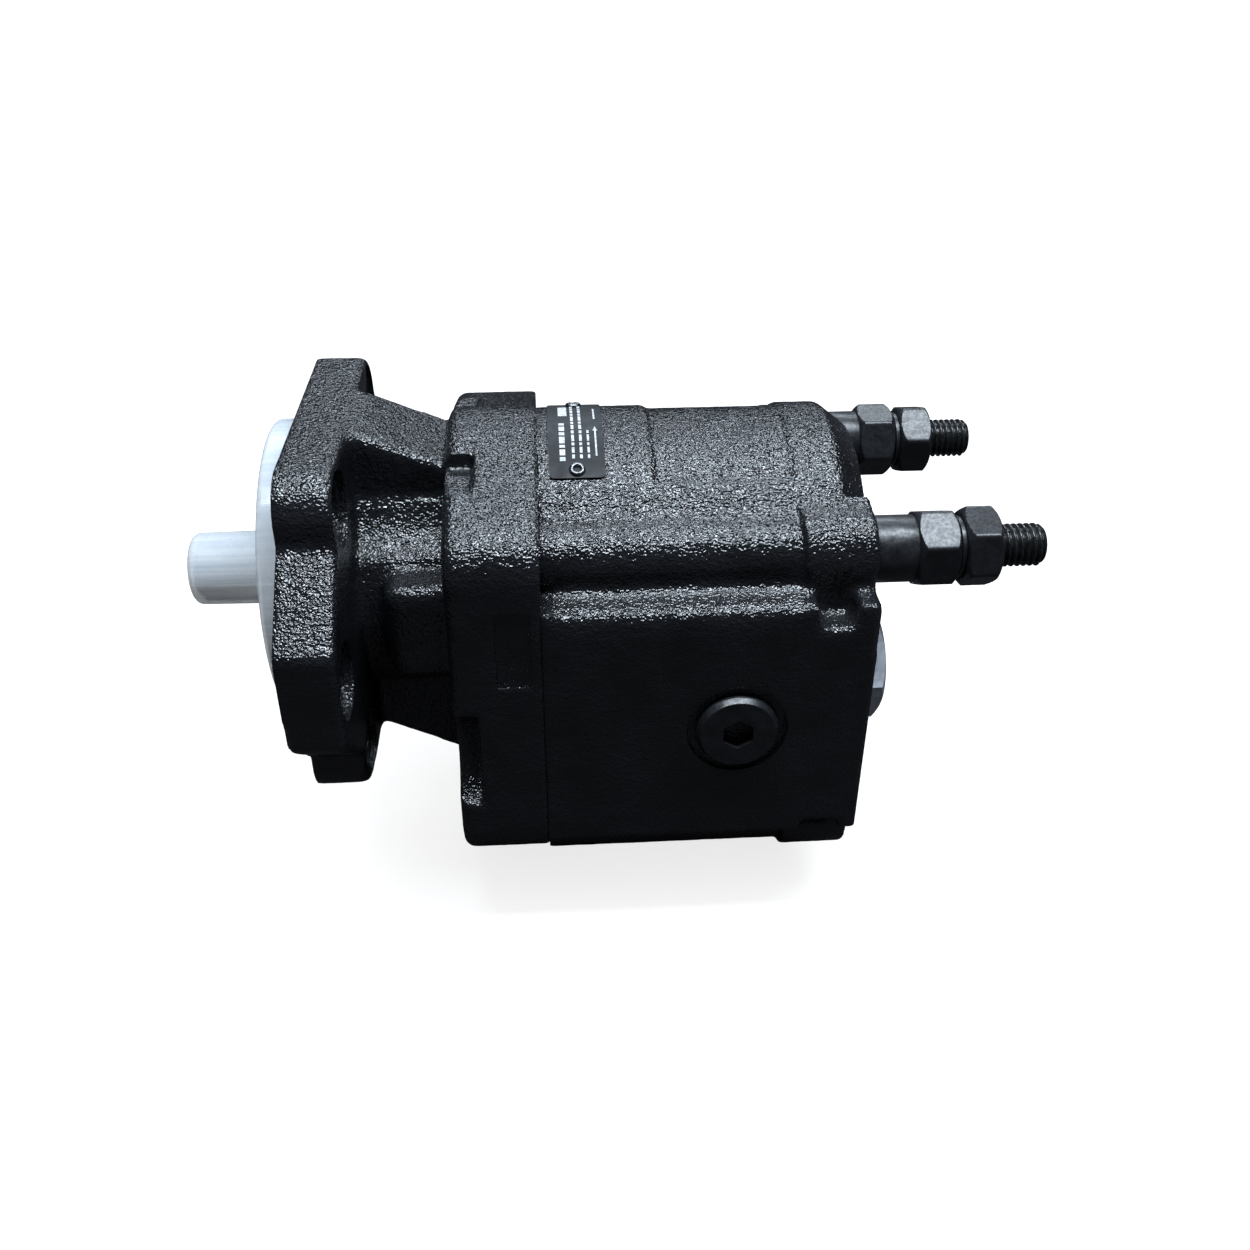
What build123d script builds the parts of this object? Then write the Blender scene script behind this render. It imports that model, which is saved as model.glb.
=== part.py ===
from build123d import *
from math import acos, atan2, cos, pi, radians, sin, sqrt, tan
import os

# Hydraulic gear pump with a cast iron housing, a two- and four-bolt mounting flange and two long
# rear studs. Millimetres. The origin is the centre of the pilot on the mounting face of the flange.
# +X runs back along the drive shaft towards the studs and +Z is up.
# The driven gear lies under the drive gear.

os.makedirs("parts", exist_ok=True)

# ---- stations along the shaft ----
FLANGE_T = 18.4           # thickness of the mounting flange
SPOT_X = 16.1             # the bolt seats on its back are machined down to here
SPOT_R = 12.5
PILOT_LEN = 9.5           # the pilot stands this far in front of the mounting face
BLOCK_X = 49.0            # front face of the square block of the front cover
JOINT_X = 79.0            # joint between the front cover and the pump body
REAR_X = 187.0            # rear face of the pump body
BAND_X = 163.5            # start of the raised band at the rear of the body
SHAFT_END_X = -41.3       # front end of the splined shaft

# ---- section of the castings ----
CENTRES = 60.0            # distance between the two gear axes
BODY_R = 54.0             # rounded top and underside of the pump body
COVER_R = 55.0            # rounded top and underside of the front cover
PAD_Y = 67.0              # flat side pads, measured from the shaft axis
PAD_TOP = 17.0            # upper edge of the side pads
PAD_LOW = -75.5           # lower edge of the side pads
CORNER_R = 16.0           # rounded corners of the front cover
FOOT_Z = -113.5           # flat underside
BAND_FOOT_Z = -116.0      # flat underside of the rear band
FOOT_HALF = 26.0          # half width of the flat underside
TIE_Y = 42.8              # the four tie fasteners stand at +-TIE_Y ...
TIE_RISE = 24.1           # ... and this far outside the two gear axes
BOSS_R = 12.0             # tie boss along the body
REAR_BOSS_R = 14.3        # tie boss in the rear band
PANEL_DEPTH = 1.2         # shallow panels on the rounded top and underside
PANEL_X = (117.0, BAND_X)
PANEL_HALF_ANGLE = 35.0
NOTCH_X = (167.5, 179.5)  # notches in the upper edges of the side pads
NOTCH_DEPTH = 8.5
LOW_NOTCH_X = (167.0, 181.0)
LOW_NOTCH_DEPTH = 4.5

# ---- mounting flange: two-bolt and four-bolt pattern of the 101.6 mm pilot ----
PILOT_R = 50.8
TWO_BOLT_Y = 73.0
FOUR_BOLT = 44.9
BOLT_HOLE_R = 7.15
EAR_R = 14.7
EAR_TIP_Y = 87.3
EAR_TIP_HALF = 17.0
EAR_ROOT_HALF = 40.0

# ---- neck of the front cover, between the flange and the square block ----
NECK_R = 41.0
WEB_HALF = 19.5           # half width of the web on top of the neck ...
LOW_WEB_HALF = 22.0       # ... and of the one under it
WEB_TOP = (59.4, 59.0, 46.4)        # height at the flange, just behind it and at the block
WEB_LOW = (-54.8, -70.2)            # depth at the flange and at the block
SHOULDER_X = 28.0         # a shoulder along each side of the neck runs from here to the block
SHOULDER_Y = 50.5
SHOULDER_Z = (-16.5, 18.0)
SCOOP_R = 25.5            # room for the upper bolt heads and a spanner ...
LOW_SCOOP_R = 22.0        # ... and for the lower ones

# ---- tie studs, nuts and screws ----
TIE_R = 7.14
TIE_HOLE_R = 7.4
TIE_START_X = 55.0
STUD_END_X = 244.5
SLEEVE_R = 11.1
SLEEVE_END_X = 200.9
NUT_AF = 23.8
NUT1_END_X = 214.3
COLLAR_R = 10.2
NUT2_START_X = 216.7
NUT2_END_X = 228.3
SCREW_HEAD_R = 10.7
SCREW_HEAD_LEN = 14.0
COUNTERBORE_R = 11.1
COUNTERBORE_DEPTH = 15.0
SCREW_SOCKET_AF = 12.0
DOWEL_R = 4.0
DOWEL_LEN = 20.0
DOWELS = [(50.0, -5.0), (-50.0, -CENTRES + 5.0)]

# ---- gears and bearings ----
TEETH = 12
MODULE = 5.0
PRESSURE_ANGLE = 25.0
BACKLASH = 0.2
GEAR_W = 36.0
BORE_R = 35.1             # figure-eight bore of the pump body
BLOCK_R = 35.05           # bearing blocks slide in that bore
BLOCK_LEN = 25.0
PLAY = 0.05               # axial play at each face
JOURNAL_R = 15.0
BUSH_IN_R = 15.03
BUSH_OUT_R = 17.0
SPLINE_TEETH = 13
SPLINE_MODULE = 25.4 / 16
BORE_END_X = JOINT_X + 2 * BLOCK_LEN + GEAR_W + 4 * PLAY
FRONT_BLOCK_X = JOINT_X + PLAY
GEAR_X = FRONT_BLOCK_X + BLOCK_LEN + PLAY
REAR_BLOCK_X = GEAR_X + GEAR_W + PLAY
REAR_FACE = REAR_BLOCK_X + BLOCK_LEN
GEAR_MID_X = GEAR_X + GEAR_W / 2
MID_Z = -CENTRES / 2
GROOVE_IN_R = 27.0
GROOVE_SPLIT_R = 28.6
GROOVE_OUT_R = 31.5
GROOVE_DEPTH = 2.6
RING_IN_R = 37.6
RING_OUT_R = 40.6
RING_DEPTH = 2.4

# ---- shaft seal ----
SEAL_SHAFT_R = 14.0
SEAL_POCKET_R = 23.0
SEAL_POCKET_END_X = 17.0
SEAL_LEN = 8.0
SEAL_GAP = 0.2
CLIP_T = 1.8
CLIP_X = -5.0
OUTER_SEAL_X = CLIP_X + CLIP_T + SEAL_GAP
INNER_SEAL_X = OUTER_SEAL_X + SEAL_LEN + SEAL_GAP

# ---- ports ----
SIDE_PORT_X = 142.8       # small plugged port in the pad on the -Y side
SPOTFACE_R = 17.0
SPOTFACE_DEPTH = 1.6
PLUG_R = 13.8
PLUG_HEAD_LEN = 4.0
PLUG_THREAD_R = 11.1
OUTLET_Y = -28.0          # threaded outlet in the rear face
OUTLET_THREAD_R = 16.6
OUTLET_DEPTH = 18.0
OUTLET_HEX_AF = 36.0
OUTLET_HEX_LEN = 11.0
OUTLET_BORE_R = 12.1
INLET_R = 18.0            # flanged inlet in the pad on the +Y side
INLET_BOLT_X = 17.85
INLET_BOLT_Z = 34.9
INLET_BOLT_R = 5.1

# ---- nameplate ----
PLATE_X = (83.0, 101.4)
PLATE_ANGLES = (57.5, 108.0)
PLATE_IN_R = BODY_R + 0.02
PLATE_OUT_R = BODY_R + 0.75
RIVET_X = sum(PLATE_X) / 2
RIVET_ANGLES = (60.8, 104.7)
RIVET_HEAD_R = 2.7
RIVET_SHANK_R = 1.4
RIVET_TIP_R = PLATE_OUT_R - 6.0

# ---- protective cap on the pilot and the shaft ----
CAP_DISC_R = 52.1
CAP_TUBE_R = 13.2
CAP_WALL = 1.1
CAP_TUBE_WALL = 1.4
CAP_CLEAR = 0.3
CAP_END_X = -43.8

TIES_UP = [(-TIE_Y, TIE_RISE), (TIE_Y, TIE_RISE)]
TIES_DOWN = [(-TIE_Y, -CENTRES - TIE_RISE), (TIE_Y, -CENTRES - TIE_RISE)]
TIES = TIES_UP + TIES_DOWN
AXES = [(0.0, 0.0), (0.0, -CENTRES)]


# ---------------------------------------------------------------- helpers
def prism(sketch, x0, x1):
    """A section in the YZ plane, extruded from x0 to x1."""
    return extrude(Plane.YZ.offset(x0) * sketch, x1 - x0)


def rod(x0, x1, radius, y=0.0, z=0.0):
    """A round bar along X."""
    return prism(Pos(y, z) * Circle(radius), x0, x1)


def ring(x0, x1, inner, outer, y=0.0, z=0.0):
    return prism(Pos(y, z) * (Circle(outer) - Circle(inner)), x0, x1)


def block(x, y, z):
    """A box given by its lowest and highest coordinates along each axis."""
    size = (x[1] - x[0], y[1] - y[0], z[1] - z[0])
    middle = ((x[0] + x[1]) / 2, (y[0] + y[1]) / 2, (z[0] + z[1]) / 2)
    return Pos(*middle) * Box(*size)


def cross_bar(y0, y1, radius, x, z):
    """A round bar along Y."""
    middle = Pos(x, (y0 + y1) / 2, z)
    return middle * Rot(90, 0, 0) * Cylinder(radius, abs(y1 - y0))


def turned(profile):
    """A solid of revolution about X, from (x, radius) points that begin and end on the axis."""
    outline = make_face(Polyline(*[(x, 0, r) for x, r in profile], close=True))
    return revolve(outline, Axis.X)


def one(shape):
    """The shape as a single solid."""
    solids = shape.solids()
    return max(solids, key=lambda s: s.volume)


def save(name, *shapes):
    solids = [solid for shape in shapes for solid in shape.solids()]
    whole = solids[0] if len(solids) == 1 else Compound(children=solids)
    whole.label = name
    export_step(whole, f"parts/{name}.step")


def hexagon(across_flats, turn=0.0):
    return Rot(0, 0, turn) * RegularPolygon(across_flats / 2, 6, major_radius=False)


def hex_bar(x0, x1, across_flats, y, z, turn=0.0, chamfers=(True, True)):
    """A hexagon along X whose ends are turned off to a cone at the corners."""
    corner = across_flats / sqrt(3)
    flat = across_flats / 2 * 0.97
    drop = (corner - flat) * tan(radians(30))
    front = [(x0, 0), (x0, flat), (x0 + drop, corner)] if chamfers[0] else [(x0, 0), (x0, corner)]
    back = [(x1 - drop, corner), (x1, flat), (x1, 0)] if chamfers[1] else [(x1, corner), (x1, 0)]
    body = prism(hexagon(across_flats, turn), x0, x1) & turned(front + back)
    return Pos(0, y, z) * body


# ---------------------------------------------------------------- sections of the castings
def figure_eight(radius):
    """Two overlapping circles about the gear axes."""
    return Circle(radius) + Pos(0, -CENTRES) * Circle(radius)


def stadium(radius):
    return figure_eight(radius) + Pos(0, MID_Z) * Rectangle(2 * radius, CENTRES)


def side_pads():
    return Pos(0, (PAD_TOP + PAD_LOW) / 2) * Rectangle(2 * PAD_Y, PAD_TOP - PAD_LOW)


def foot(underside):
    """The flat underside, under the round of the driven gear."""
    return Pos(0, (underside - CENTRES) / 2) * Rectangle(2 * FOOT_HALF, -underside - CENTRES)


def body_section(boss_radius, underside):
    """Round top, tie bosses that flow into it, and the two flat side pads."""
    section = stadium(BODY_R)
    for y, z in TIES:
        section += Pos(y, z) * Circle(boss_radius)
    section = offset(offset(section, 9.0), -9.0)
    section += foot(underside)
    section += side_pads()
    return offset(offset(section, 1.5), -1.5)


def cover_section():
    """The fuller section of the front cover: a hull round the gear rounds and the tie corners."""
    circles = [Circle(COVER_R), Pos(0, -CENTRES) * Circle(COVER_R)]
    for y in (-PAD_Y + CORNER_R, PAD_Y - CORNER_R):
        circles += [Pos(y, 26.5) * Circle(CORNER_R), Pos(y, -69.5) * Circle(CORNER_R)]
    for y, z in TIES_DOWN:
        circles.append(Pos(y, z) * Circle(BOSS_R - 1.2))
    edges = [edge for circle in circles for edge in circle.edges()]
    hull = make_hull(edges)
    below = Pos(0, FOOT_Z - 50) * Rectangle(300, 100)
    return hull - below


def flange_section():
    """Square plate with rounded corners for four bolts, and two tapered ears for two bolts."""
    half = FOUR_BOLT + EAR_R
    quarter = [(EAR_TIP_Y, EAR_TIP_HALF), (half, EAR_ROOT_HALF), (half, half)]
    upper = quarter + [(-y, z) for y, z in reversed(quarter)]
    outline = Polygon(*upper, *[(y, -z) for y, z in reversed(upper)], align=None)
    for (y, z), radius in zip(quarter, (4.0, 3.0, EAR_R)):
        corners = [v for v in outline.vertices() if abs(abs(v.X) - y) + abs(abs(v.Y) - z) < 0.1]
        outline = fillet(corners, radius)
    return outline


# ---------------------------------------------------------------- castings
def web(profile, half_width):
    """A web along the neck from its (x, z) outline, with its long outer edges rounded."""
    blank = extrude(Plane.XZ * Polygon(*profile, align=None), half_width, both=True)
    outer = [edge for edge in blank.edges()
             if abs(edge.tangent_at(0.5).X) > 0.9 and abs(edge.center().Z) > 20]
    return fillet(outer, 3.0)


def neck():
    """The round neck with a web above and below it, a shoulder on each side and the bolt scoops."""
    start, end = FLANGE_T - 1, BLOCK_X + 1
    made = rod(start, end, NECK_R)
    made += web([(start, 0), (start, WEB_TOP[0]), (start + 3, WEB_TOP[1]), (end, WEB_TOP[2]), (end, 0)],
                WEB_HALF)
    made += web([(start, 0), (start, WEB_LOW[0]), (end, WEB_LOW[1]), (end, 0)], LOW_WEB_HALF)
    shoulder = block((SHOULDER_X, end), (-SHOULDER_Y, SHOULDER_Y), SHOULDER_Z)
    rounded = shoulder.edges().filter_by(Axis.X) + shoulder.faces().sort_by(Axis.X)[0].edges()
    made += fillet(rounded, 5.0)
    for y in (-FOUR_BOLT, FOUR_BOLT):
        made -= rod(FLANGE_T, BLOCK_X, SCOOP_R, y, FOUR_BOLT)
        made -= rod(FLANGE_T, BLOCK_X, LOW_SCOOP_R, y, -FOUR_BOLT)
    return made


def front_cover():
    """Mounting flange, pilot, neck with its two gussets, and the square block, in one casting."""
    flange = prism(flange_section(), 0, FLANGE_T)
    flange = fillet(flange.faces().sort_by(Axis.X)[-1].outer_wire().edges(), 2.5)
    square = prism(cover_section(), BLOCK_X, JOINT_X)
    square = fillet(square.faces().sort_by(Axis.X)[0].outer_wire().edges(), 4.0)
    for side in (-1, 1):
        square -= block((BLOCK_X - 5, 58.5), sorted((side * 20.0, side * 80.0)), (46.0, 80.0))
        square -= rod(BLOCK_X - 5, 57.5, 21.0, side * 76.0, -39.5)
    square -= block((64.0, 75.5), (-PAD_Y - 1, -PAD_Y + 0.7), (-9.7, 17.5))
    cover = flange + neck() + square + rod(-PILOT_LEN, 1, PILOT_R)
    pilot_rim = cover.edges().filter_by(GeomType.CIRCLE).filter_by(
        lambda e: abs(e.radius - PILOT_R) < 0.01 and abs(e.center().X + PILOT_LEN) < 0.01)
    cover = chamfer(pilot_rim, 1.2)
    return cover


def cover_bores(cover):
    """Shaft bore, seal pocket with its clip groove, bolt holes, stud threads and dowel holes."""
    cover -= rod(SEAL_POCKET_END_X - 1, JOINT_X + 1, 15.6)
    cover -= rod(-PILOT_LEN - 1, SEAL_POCKET_END_X, SEAL_POCKET_R)
    cover -= rod(CLIP_X, CLIP_X + CLIP_T + 0.1, SEAL_POCKET_R + 1.6)
    holes = [(-TWO_BOLT_Y, 0), (TWO_BOLT_Y, 0)]
    holes += [(y, z) for y in (-FOUR_BOLT, FOUR_BOLT) for z in (-FOUR_BOLT, FOUR_BOLT)]
    for y, z in holes:
        cover -= rod(-1, FLANGE_T + 1, BOLT_HOLE_R, y, z)
        cover -= rod(SPOT_X, FLANGE_T + 1, SPOT_R, y, z)
    for y, z in TIES:
        cover -= rod(TIE_START_X - 2, JOINT_X + 1, TIE_R, y, z)
    for y, z in DOWELS:
        cover -= rod(JOINT_X - DOWEL_LEN / 2, JOINT_X + 1, DOWEL_R, y, z)
    cover -= rod(JOINT_X - 12, JOINT_X + 1, JOURNAL_R + 1, 0, -CENTRES)
    return one(cover)


def pump_body():
    """The housing of the gears, closed at the rear, with tie bosses, side pads and panels."""
    body = prism(body_section(BOSS_R, FOOT_Z), JOINT_X, BAND_X + 0.5)
    body += prism(body_section(REAR_BOSS_R, BAND_FOOT_Z), BAND_X, REAR_X)
    inside, outside = BODY_R - PANEL_DEPTH, BODY_R + 10
    spread = 80 * tan(radians(PANEL_HALF_ANGLE))
    wedge = Polygon((0, 0), (spread, 80), (-spread, 80), align=None)
    panel = (Circle(outside) - Circle(inside)) & wedge
    body -= prism(panel, *PANEL_X)
    for side in (-1, 1):
        body -= rear_slope(side)
        y_range = sorted((side * 55.5, side * 80.0))
        notches = [(NOTCH_X, (PAD_TOP - NOTCH_DEPTH, PAD_TOP + 6)),
                   (LOW_NOTCH_X, (PAD_LOW - 6, PAD_LOW + LOW_NOTCH_DEPTH))]
        for x_range, z_range in notches:
            notch = block(x_range, y_range, z_range)
            body -= fillet(notch.edges().filter_by(Axis.Y), 2.8)
    for angle in RIVET_ANGLES:
        body -= radial_pin(angle, RIVET_TIP_R, PLATE_OUT_R, RIVET_SHANK_R)
    return body


def rear_slope(side):
    """The sloped rear edge of the rounded top (side +1) or underside (side -1)."""
    slope = Polyline((178.0, 0, BODY_R + 0.2), (REAR_X + 1, 0, 46.4), (REAR_X + 1, 0, 70.0),
                     (178.0, 0, 70.0), close=True)
    cone = revolve(make_face(slope), Axis.X)
    cone &= block((170, 200), (-36, 36), (0, 80))
    if side > 0:
        return cone
    return Pos(0, 0, -CENTRES) * (Rot(180, 0, 0) * cone)


def body_bores(body):
    """Gear bore, tie and dowel holes, counterbores, the o-ring groove and the ports."""
    body -= prism(figure_eight(BORE_R), JOINT_X - 1, BORE_END_X)
    body -= prism(stadium(RING_OUT_R) - stadium(RING_IN_R), JOINT_X - 1, JOINT_X + RING_DEPTH)
    for y, z in TIES:
        body -= rod(JOINT_X - 1, REAR_X + 1, TIE_HOLE_R, y, z)
    for y, z in TIES_DOWN:
        body -= rod(REAR_X - COUNTERBORE_DEPTH, REAR_X + 1, COUNTERBORE_R, y, z)
    for y, z in DOWELS:
        body -= rod(JOINT_X - 1, JOINT_X + DOWEL_LEN / 2 + 1, DOWEL_R, y, z)
    body -= cross_bar(-PAD_Y - 1, -PAD_Y + SPOTFACE_DEPTH, SPOTFACE_R, SIDE_PORT_X, MID_Z)
    body -= cross_bar(-PAD_Y - 1, -38.0, PLUG_THREAD_R, SIDE_PORT_X, MID_Z)
    body -= block((GEAR_X + 3, GEAR_X + GEAR_W - 3), (-44.0, -14.0), (MID_Z - 11, MID_Z + 11))
    body -= block((GEAR_X + 3, SIDE_PORT_X + 9), (-44.0, -36.0), (MID_Z - 9, MID_Z + 9))
    body -= rod(SIDE_PORT_X, REAR_X - OUTLET_DEPTH + 1, 7.0, -38.0, MID_Z)
    body -= rod(REAR_X - OUTLET_DEPTH, REAR_X + 1, OUTLET_THREAD_R, OUTLET_Y, MID_Z)
    body -= cross_bar(14.0, PAD_Y + 1, INLET_R - 1.0, GEAR_MID_X, MID_Z)
    body -= cross_bar(40.0, PAD_Y + 1, INLET_R, GEAR_MID_X, MID_Z)
    for x in (-INLET_BOLT_X, INLET_BOLT_X):
        for z in (-INLET_BOLT_Z, INLET_BOLT_Z):
            body -= cross_bar(PAD_Y - 20, PAD_Y + 1, INLET_BOLT_R, GEAR_MID_X + x, MID_Z + z)
    return one(body)


# ---------------------------------------------------------------- fasteners
def tie_stud(y, z):
    end = STUD_END_X
    return Pos(0, y, z) * turned([(TIE_START_X, 0), (TIE_START_X, TIE_R), (end - 1.6, TIE_R),
                                  (end, TIE_R - 1.6), (end, 0)])


def sleeve_nut(y, z, turn):
    """A nut with a long round sleeve in front of its hexagon and a short neck behind it."""
    nut = rod(REAR_X, SLEEVE_END_X, SLEEVE_R, y, z)
    nut += hex_bar(SLEEVE_END_X, NUT1_END_X, NUT_AF, y, z, turn)
    nut += rod(NUT1_END_X, NUT2_START_X, COLLAR_R, y, z)
    return one(nut - rod(REAR_X - 1, NUT2_START_X + 1, TIE_R, y, z))


def lock_nut(y, z, turn):
    nut = hex_bar(NUT2_START_X, NUT2_END_X, NUT_AF, y, z, turn)
    return one(nut - rod(NUT2_START_X - 1, NUT2_END_X + 1, TIE_R, y, z))


def socket_screw(y, z):
    seat = REAR_X - COUNTERBORE_DEPTH
    screw = rod(TIE_START_X, seat, TIE_R, y, z)
    head = turned([(seat, 0), (seat, SCREW_HEAD_R), (seat + SCREW_HEAD_LEN - 1, SCREW_HEAD_R),
                   (seat + SCREW_HEAD_LEN, SCREW_HEAD_R - 1), (seat + SCREW_HEAD_LEN, 0)])
    screw += Pos(0, y, z) * head
    socket = prism(Pos(y, z) * hexagon(SCREW_SOCKET_AF), seat + 6, seat + SCREW_HEAD_LEN + 1)
    return one(screw - socket)


def dowel_pin(y, z):
    return rod(JOINT_X - DOWEL_LEN / 2, JOINT_X + DOWEL_LEN / 2, DOWEL_R, y, z)


# ---------------------------------------------------------------- gears and bearings
def involute(angle):
    return tan(angle) - angle


def tooth_flank(base_r, start_r, tip_r, half_angle, steps=6):
    """Points on one involute flank, from start_r to tip_r; half_angle is the angle at the base."""
    points = []
    for i in range(steps + 1):
        r = start_r + (tip_r - start_r) * i / steps
        turn = half_angle - involute(acos(min(1.0, base_r / r)))
        points.append((r * cos(turn), r * sin(turn)))
    return points


def gear_section(teeth, module, pressure_angle, tip_r, root_r, backlash, turn):
    """An involute gear with one tooth centred at the angle turn, in degrees."""
    pitch_r = teeth * module / 2
    alpha = radians(pressure_angle)
    base_r = pitch_r * cos(alpha)
    half_angle = (pi * module / 2 - backlash) / 2 / pitch_r + involute(alpha)
    upper = tooth_flank(base_r, max(base_r, root_r + 0.2) + 0.01, tip_r, half_angle)
    lower = [(x, -y) for x, y in upper]
    foot_angle = atan2(upper[0][1], upper[0][0])
    root_up = (root_r * 0.96 * cos(foot_angle), root_r * 0.96 * sin(foot_angle))
    root_low = (root_up[0], -root_up[1])
    edges = [Line(root_low, lower[0]), Spline(*lower), ThreePointArc(lower[-1], (tip_r, 0), upper[-1]),
             Spline(*reversed(upper)), Line(upper[0], root_up), Line(root_up, root_low)]
    tooth = make_face(edges)
    section = Circle(root_r)
    for i in range(teeth):
        section += Rot(0, 0, turn + 360.0 * i / teeth) * tooth
    return section


def pump_gear(turn):
    tip_r = TEETH * MODULE / 2 + MODULE - 0.02
    root_r = TEETH * MODULE / 2 - 1.25 * MODULE
    return gear_section(TEETH, MODULE, PRESSURE_ANGLE, tip_r, root_r, BACKLASH, turn)


def drive_gear_shaft():
    """The drive gear with its journals, seal run and splined front end, in one forging."""
    shaft = prism(pump_gear(-90.0), GEAR_X, GEAR_X + GEAR_W)
    rear_end = REAR_BLOCK_X + BLOCK_LEN - 1
    shaft += turned([(40.0, 0), (40.0, JOURNAL_R - 0.8), (40.8, JOURNAL_R), (rear_end - 1, JOURNAL_R),
                     (rear_end, JOURNAL_R - 1), (rear_end, 0)])
    shaft += turned([(-8.0, 0), (-8.0, 10.4), (-5.4, 12.4), (-2.0, SEAL_SHAFT_R), (41.0, SEAL_SHAFT_R),
                     (41.0, 0)])
    tip_r = (SPLINE_TEETH + 1) * SPLINE_MODULE / 2
    root_r = (SPLINE_TEETH - 1.35) * SPLINE_MODULE / 2
    spline = gear_section(SPLINE_TEETH, SPLINE_MODULE, 30.0, tip_r, root_r, 0.05, 90.0)
    ends = turned([(SHAFT_END_X, 0), (SHAFT_END_X, root_r - 0.4), (SHAFT_END_X + 2.2, tip_r + 0.3),
                   (-10.6, tip_r + 0.3), (-8.4, root_r), (-7.0, root_r), (-7.0, 0)])
    shaft += prism(spline, SHAFT_END_X, -7.0) & ends
    return one(shaft)


def driven_gear_shaft():
    """The driven gear with a journal on each side, in one forging."""
    gear = prism(pump_gear(90.0 + 180.0 / TEETH), GEAR_X, GEAR_X + GEAR_W)
    start, end = FRONT_BLOCK_X + 1, REAR_BLOCK_X + BLOCK_LEN - 1
    gear += turned([(start, 0), (start, JOURNAL_R - 1), (start + 1, JOURNAL_R), (end - 1, JOURNAL_R),
                    (end, JOURNAL_R - 1), (end, 0)])
    return one(Pos(0, 0, -CENTRES) * gear)


def bearing_block(x, seal_at_front):
    """A figure-eight block for two bushes, with a seal groove in the face away from the gears."""
    blank = prism(figure_eight(BLOCK_R), x, x + BLOCK_LEN)
    for y, z in AXES:
        blank -= rod(x - 1, x + BLOCK_LEN + 1, BUSH_OUT_R, y, z)
    band = groove_band(GROOVE_IN_R, GROOVE_OUT_R)
    if seal_at_front:
        blank -= prism(band, x - 1, x + GROOVE_DEPTH)
    else:
        blank -= prism(band, x + BLOCK_LEN - GROOVE_DEPTH, x + BLOCK_LEN + 1)
    return one(blank)


def groove_band(inner, outer):
    """A band shaped like a 3 round the high pressure side of the bearing block."""
    band = figure_eight(outer) - figure_eight(inner)
    return band & (Pos(-40 + 6, MID_Z) * Rectangle(80, 200))


def bush(x, z):
    return ring(x, x + BLOCK_LEN, BUSH_IN_R, BUSH_OUT_R, 0, z)


def pressure_seal(x0, x1):
    return one(prism(groove_band(GROOVE_SPLIT_R + 0.05, GROOVE_OUT_R - 0.1), x0, x1))


def backup_strip(x0, x1):
    return one(prism(groove_band(GROOVE_IN_R + 0.1, GROOVE_SPLIT_R - 0.05), x0, x1))


# ---------------------------------------------------------------- shaft seal
def lip_seal(x):
    """A rubber-covered ring seal: outer wall, back wall and a lip on the shaft."""
    seal = ring(x, x + SEAL_LEN, SEAL_POCKET_R - 2.2, SEAL_POCKET_R)
    seal += ring(x, x + 2.0, SEAL_SHAFT_R + 2.0, SEAL_POCKET_R - 1)
    seal += ring(x + 1.0, x + SEAL_LEN - 1.5, SEAL_SHAFT_R + 0.05, SEAL_SHAFT_R + 2.6)
    return one(seal)


def retaining_clip():
    """A spring clip with a gap and two eyes."""
    clip = Circle(SEAL_POCKET_R + 1.5) - Circle(SEAL_POCKET_R - 1.8)
    clip -= Pos(0, 25) * Rectangle(7.0, 20.0)
    for side in (-1, 1):
        clip += Pos(side * 5.6, SEAL_POCKET_R - 3.0) * (Circle(2.6) - Circle(1.1))
    return one(prism(clip, CLIP_X, CLIP_X + CLIP_T))


# ---------------------------------------------------------------- ports
def side_plug():
    """Socket plug with a round head, seated in the spotface of the small side port."""
    face = -PAD_Y + SPOTFACE_DEPTH
    head = cross_bar(face - PLUG_HEAD_LEN, face, PLUG_R, SIDE_PORT_X, MID_Z)
    head = chamfer(head.faces().sort_by(Axis.Y)[0].edges(), 1.0)
    plug = head + cross_bar(face, face + 14.0, PLUG_THREAD_R, SIDE_PORT_X, MID_Z)
    socket = Pos(SIDE_PORT_X, face - 4, MID_Z) * Rot(90, 0, 0) * hexagon(10.0, 30)
    return one(plug - extrude(socket, -11.5))


def side_plug_ring():
    face = -PAD_Y + SPOTFACE_DEPTH
    groove = cross_bar(face - 1.4, face, PLUG_R - 0.4, SIDE_PORT_X, MID_Z)
    return one(groove - cross_bar(face - 2, face + 1, PLUG_THREAD_R, SIDE_PORT_X, MID_Z))


def outlet_adapter():
    """Threaded adapter with a hexagon that brings the rear outlet down to a smaller thread."""
    hex_end = REAR_X + OUTLET_HEX_LEN
    adapter = hex_bar(REAR_X, hex_end, OUTLET_HEX_AF, OUTLET_Y, MID_Z, -6.0, (False, True))
    adapter += rod(REAR_X - OUTLET_DEPTH + 1, REAR_X, OUTLET_THREAD_R, OUTLET_Y, MID_Z)
    adapter -= rod(REAR_X - OUTLET_DEPTH - 1, REAR_X + 20, 8.0, OUTLET_Y, MID_Z)
    adapter -= rod(REAR_X - 6, REAR_X + 20, OUTLET_BORE_R, OUTLET_Y, MID_Z)
    return one(adapter)


# ---------------------------------------------------------------- plate and cap
def around(angle):
    """The YZ direction at this angle, from level on the -Y side up over the top."""
    return -cos(radians(angle)), sin(radians(angle))


def nameplate():
    """A thin plate curved round the body, with two holes for its rivets."""
    start, end = (around(angle) for angle in PLATE_ANGLES)
    wedge = Polygon((0, 0), (start[0] * 90, start[1] * 90), (end[0] * 90, end[1] * 90), align=None)
    plate = prism((Circle(PLATE_OUT_R) - Circle(PLATE_IN_R)) & wedge, *PLATE_X)
    for angle in RIVET_ANGLES:
        plate -= radial_pin(angle, 40, 70, RIVET_SHANK_R)
    return one(plate)


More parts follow.
